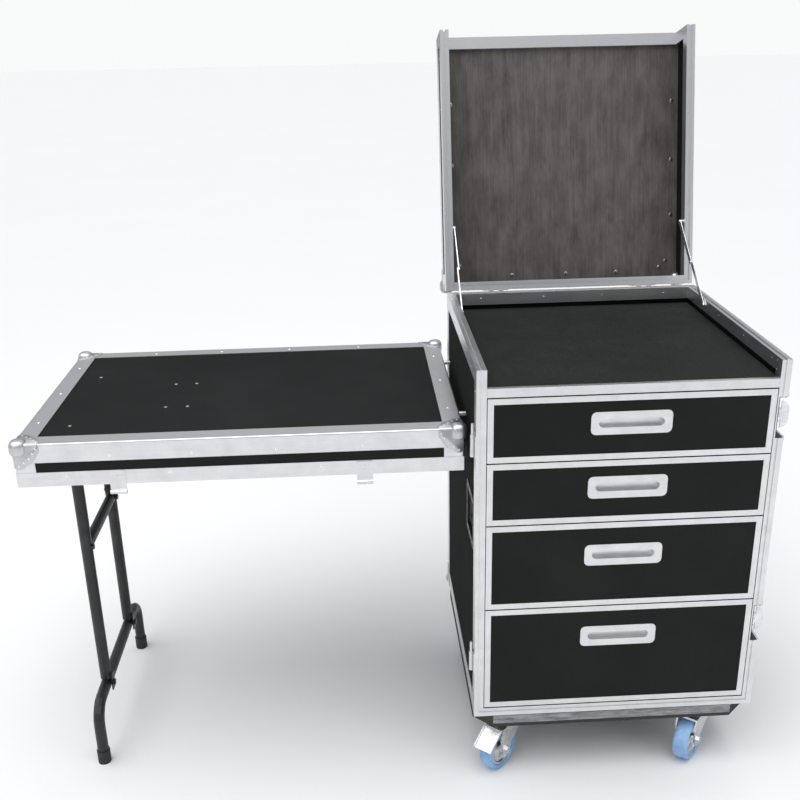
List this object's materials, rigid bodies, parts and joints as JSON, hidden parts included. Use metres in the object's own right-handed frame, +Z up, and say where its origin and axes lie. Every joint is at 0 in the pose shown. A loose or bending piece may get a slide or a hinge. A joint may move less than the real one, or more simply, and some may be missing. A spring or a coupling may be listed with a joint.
{
  "type": "tool flight case with drawers and a table cover",
  "caption": "Black laminate flight case on castors with recessed-pull drawers, a lift-up lid, and its front cover hung on the side as a folding-leg table.",
  "frame": {"origin": "middle of the bounding box on the floor that the castors and the table's feet stand on, with the lid open and the cover hung as a table", "axes": "+X to the case's right as its user faces the drawers, +Y from the drawer fronts to the case's back, +Z up"},
  "size_m": [1.5173, 0.8802, 1.5177],
  "materials": {
    "laminate_panel": "glossy black laminate over plywood",
    "lining": "dark stained plywood",
    "aluminium": "satin anodised",
    "zinc_steel": "bright zinc",
    "powder_coat": "black powder coat",
    "deck_mat": "matt, finely pebbled",
    "blue_tread": "smooth polyurethane tread",
    "grip_rubber": "matt moulded rubber"
  },
  "bodies": {
    "case": {"side_panel_left": "laminate_panel", "side_panel_right": "laminate_panel", "back_panel": "laminate_panel", "bottom_panel": "laminate_panel", "body_rim": "aluminium", "body_angles": "aluminium", "deck_rail": "aluminium", "deck_panel": "laminate_panel", "deck_mat": "deck_mat", "runners_left": "zinc_steel", "runners_right": "zinc_steel", "handle_dish_left": "powder_coat", "handle_dish_right": "powder_coat", "latch_1_dish": "zinc_steel", "latch_2_dish": "zinc_steel", "castor_board": "laminate_panel", "board_strip": "aluminium"},
    "drawer_1": {"drawer_1_box": "laminate_panel", "drawer_1_frame": "aluminium", "drawer_1_pull": "zinc_steel"},
    "drawer_2": {"drawer_2_box": "laminate_panel", "drawer_2_frame": "aluminium", "drawer_2_pull": "zinc_steel"},
    "drawer_3": {"drawer_3_box": "laminate_panel", "drawer_3_frame": "aluminium", "drawer_3_pull": "zinc_steel"},
    "drawer_4": {"drawer_4_box": "laminate_panel", "drawer_4_frame": "aluminium", "drawer_4_pull": "zinc_steel"},
    "handle_left": {"handle_grip_left": "grip_rubber"},
    "handle_right": {"handle_grip_right": "grip_rubber"},
    "latch_1_rotor": {"latch_1_rotor": "zinc_steel"},
    "latch_1_wing": {"latch_1_wing": "zinc_steel"},
    "latch_2_rotor": {"latch_2_rotor": "zinc_steel"},
    "latch_2_wing": {"latch_2_wing": "zinc_steel"},
    "lid": {"lid_shell": "lining", "lid_rim": "aluminium", "lid_angles": "aluminium"},
    "stay_lower_left": {"stay_lower_left": "zinc_steel"},
    "stay_upper_left": {"stay_upper_left": "zinc_steel"},
    "stay_lower_right": {"stay_lower_right": "zinc_steel"},
    "stay_upper_right": {"stay_upper_right": "zinc_steel"},
    "castor_1": {"castor_1_fork": "zinc_steel"},
    "castor_1_wheel": {"castor_1_wheel": "blue_tread"},
    "castor_2": {"castor_2_fork": "zinc_steel"},
    "castor_2_wheel": {"castor_2_wheel": "blue_tread"},
    "castor_3": {"castor_3_fork": "zinc_steel"},
    "castor_3_wheel": {"castor_3_wheel": "blue_tread"},
    "castor_4": {"castor_4_fork": "zinc_steel"},
    "castor_4_wheel": {"castor_4_wheel": "blue_tread"},
    "brake_pedal": {"brake_pedal": "zinc_steel"},
    "cover": {"cover_shell": "laminate_panel", "cover_rim": "aluminium", "cover_angles": "aluminium", "leg_bracket": "powder_coat", "brace_plate": "powder_coat"},
    "leg": {"leg_frame": "powder_coat", "leg_foot": "powder_coat"},
    "brace_strut": {"brace_strut": "powder_coat"},
    "brace_link": {"brace_link": "powder_coat"}
  },
  "joints": [
    {"name": "drawer_1_slide", "type": "slide", "parent": "case", "child": "drawer_1", "axis": [0, -1, 0], "range_m": [0, 0.4]},
    {"name": "drawer_2_slide", "type": "slide", "parent": "case", "child": "drawer_2", "axis": [0, -1, 0], "range_m": [0, 0.4]},
    {"name": "drawer_3_slide", "type": "slide", "parent": "case", "child": "drawer_3", "axis": [0, -1, 0], "range_m": [0, 0.4]},
    {"name": "drawer_4_slide", "type": "slide", "parent": "case", "child": "drawer_4", "axis": [0, -1, 0], "range_m": [0, 0.4]},
    {"name": "handle_left_swing", "type": "hinge", "parent": "case", "child": "handle_left", "pos_m": [0.1563, -0.31884, 0.6225], "axis": [0, 1, 0], "range_deg": [0, 90]},
    {"name": "handle_right_swing", "type": "hinge", "parent": "case", "child": "handle_right", "pos_m": [0.7373, -0.31884, 0.6225], "axis": [0, -1, 0], "range_deg": [0, 90]},
    {"name": "latch_1_turn", "type": "hinge", "parent": "case", "child": "latch_1_rotor", "pos_m": [0.7313, -0.39634, 0.8165], "axis": [1, 0, 0], "range_deg": [0, 180]},
    {"name": "latch_1_flip", "type": "hinge", "parent": "latch_1_rotor", "child": "latch_1_wing", "pos_m": [0.7388, -0.39634, 0.8165], "axis": [0, 0, 1], "range_deg": [0, 90]},
    {"name": "latch_2_turn", "type": "hinge", "parent": "case", "child": "latch_2_rotor", "pos_m": [0.7313, -0.39634, 0.3575], "axis": [1, 0, 0], "range_deg": [0, 180]},
    {"name": "latch_2_flip", "type": "hinge", "parent": "latch_2_rotor", "child": "latch_2_wing", "pos_m": [0.7388, -0.39634, 0.3575], "axis": [0, 0, 1], "range_deg": [0, 90]},
    {"name": "lid_hinge", "type": "hinge", "parent": "case", "child": "lid", "pos_m": [0.4468, 0.19416, 0.9266], "axis": [1, 0, 0], "range_deg": [0, 102.9]},
    {"name": "stay_lower_left_swing", "type": "hinge", "parent": "case", "child": "stay_lower_left", "pos_m": [0.168, 0.04716, 0.92], "axis": [1, 0, 0], "range_deg": [0, 151.06]},
    {"name": "stay_upper_left_swing", "type": "hinge", "parent": "lid", "child": "stay_upper_left", "pos_m": [0.1708, 0.2571, 1.07284], "axis": [1, 0, 0], "range_deg": [-115.64, 0]},
    {"name": "stay_lower_right_swing", "type": "hinge", "parent": "case", "child": "stay_lower_right", "pos_m": [0.7256, 0.04716, 0.92], "axis": [1, 0, 0], "range_deg": [0, 151.06]},
    {"name": "stay_upper_right_swing", "type": "hinge", "parent": "lid", "child": "stay_upper_right", "pos_m": [0.7228, 0.2571, 1.07284], "axis": [1, 0, 0], "range_deg": [-115.64, 0]},
    {"name": "castor_1_swivel", "type": "hinge", "parent": "case", "child": "castor_1", "pos_m": [0.2348, -0.34584, 0.11], "axis": [0, 0, 1], "continuous": true},
    {"name": "castor_1_roll", "type": "hinge", "parent": "castor_1", "child": "castor_1_wheel", "pos_m": [0.20402, -0.38002, 0.05], "axis": [0.7431, -0.6691, 0], "continuous": true},
    {"name": "castor_2_swivel", "type": "hinge", "parent": "case", "child": "castor_2", "pos_m": [0.6588, -0.34584, 0.11], "axis": [0, 0, 1], "continuous": true},
    {"name": "castor_2_roll", "type": "hinge", "parent": "castor_2", "child": "castor_2_wheel", "pos_m": [0.62923, -0.38108, 0.05], "axis": [0.766, -0.6428, 0], "continuous": true},
    {"name": "castor_3_swivel", "type": "hinge", "parent": "case", "child": "castor_3", "pos_m": [0.2348, 0.11816, 0.11], "axis": [0, 0, 1], "continuous": true},
    {"name": "castor_3_roll", "type": "hinge", "parent": "castor_3", "child": "castor_3_wheel", "pos_m": [0.20648, 0.08191, 0.05], "axis": [0.788, -0.6157, 0], "continuous": true},
    {"name": "castor_4_swivel", "type": "hinge", "parent": "case", "child": "castor_4", "pos_m": [0.6588, 0.11816, 0.11], "axis": [0, 0, 1], "continuous": true},
    {"name": "castor_4_roll", "type": "hinge", "parent": "castor_4", "child": "castor_4_wheel", "pos_m": [0.62685, 0.08507, 0.05], "axis": [0.7193, -0.6947, 0], "continuous": true},
    {"name": "brake_pedal_press", "type": "hinge", "parent": "castor_1", "child": "brake_pedal", "pos_m": [0.19278, -0.39251, 0.1062], "axis": [0.7431, -0.6691, 0], "range_deg": [0, 6], "stiffness_Nm_per_rad": 2},
    {"name": "cover_hang", "type": "slide", "parent": "case", "child": "cover", "axis": [-1, 0, 0], "range_m": [0, 0.1]},
    {"name": "leg_fold", "type": "hinge", "parent": "cover", "child": "leg", "pos_m": [-0.6782, -0.06884, 0.755], "axis": [0, -1, 0], "range_deg": [0, 90]},
    {"name": "brace_strut_swing", "type": "hinge", "parent": "leg", "child": "brace_strut", "pos_m": [-0.6782, 0.04316, 0.5175], "axis": [0, -1, 0], "range_deg": [0, 40.72]},
    {"name": "brace_link_swing", "type": "hinge", "parent": "cover", "child": "brace_link", "pos_m": [-0.4602, 0.03916, 0.762], "axis": [0, -1, 0], "range_deg": [-46.8, 0]}
  ],
  "couplings": [
    {"joint": "stay_lower_left_swing", "follows": "lid_hinge", "ratio": 1.468},
    {"joint": "stay_upper_left_swing", "follows": "lid_hinge", "ratio": -1.1238},
    {"joint": "stay_lower_right_swing", "follows": "lid_hinge", "ratio": 1.468},
    {"joint": "stay_upper_right_swing", "follows": "lid_hinge", "ratio": -1.1238},
    {"joint": "brace_strut_swing", "follows": "leg_fold", "ratio": 0.45245},
    {"joint": "brace_link_swing", "follows": "leg_fold", "ratio": -0.52002}
  ]
}
